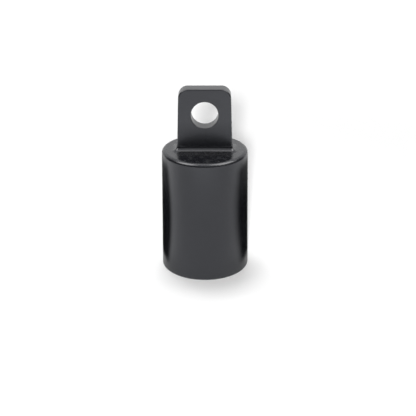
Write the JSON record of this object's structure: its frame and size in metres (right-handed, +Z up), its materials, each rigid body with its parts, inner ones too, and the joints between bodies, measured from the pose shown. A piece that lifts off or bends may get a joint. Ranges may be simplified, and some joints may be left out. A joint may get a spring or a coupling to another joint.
{
  "type": "dowel end cap",
  "caption": "Moulded plastic cap that slips over the end of a round dowel and gives it a flat tab with an eye, to hang it, tie it or hook it on.",
  "frame": {"origin": "centre of the mouth's plane, on the socket's axis", "axes": "+Z up the socket towards the closed end and the tab, X along the tab's width, Y through the tab along the eye's axis"},
  "size_m": [0.0238, 0.0238, 0.0506],
  "materials": {
    "black_plastic": "black injection-moulded plastic, semi-gloss, with faint flow waviness and fine handling scuffs"
  },
  "bodies": {
    "root": {"end_cap": "black_plastic"}
  },
  "joints": []
}
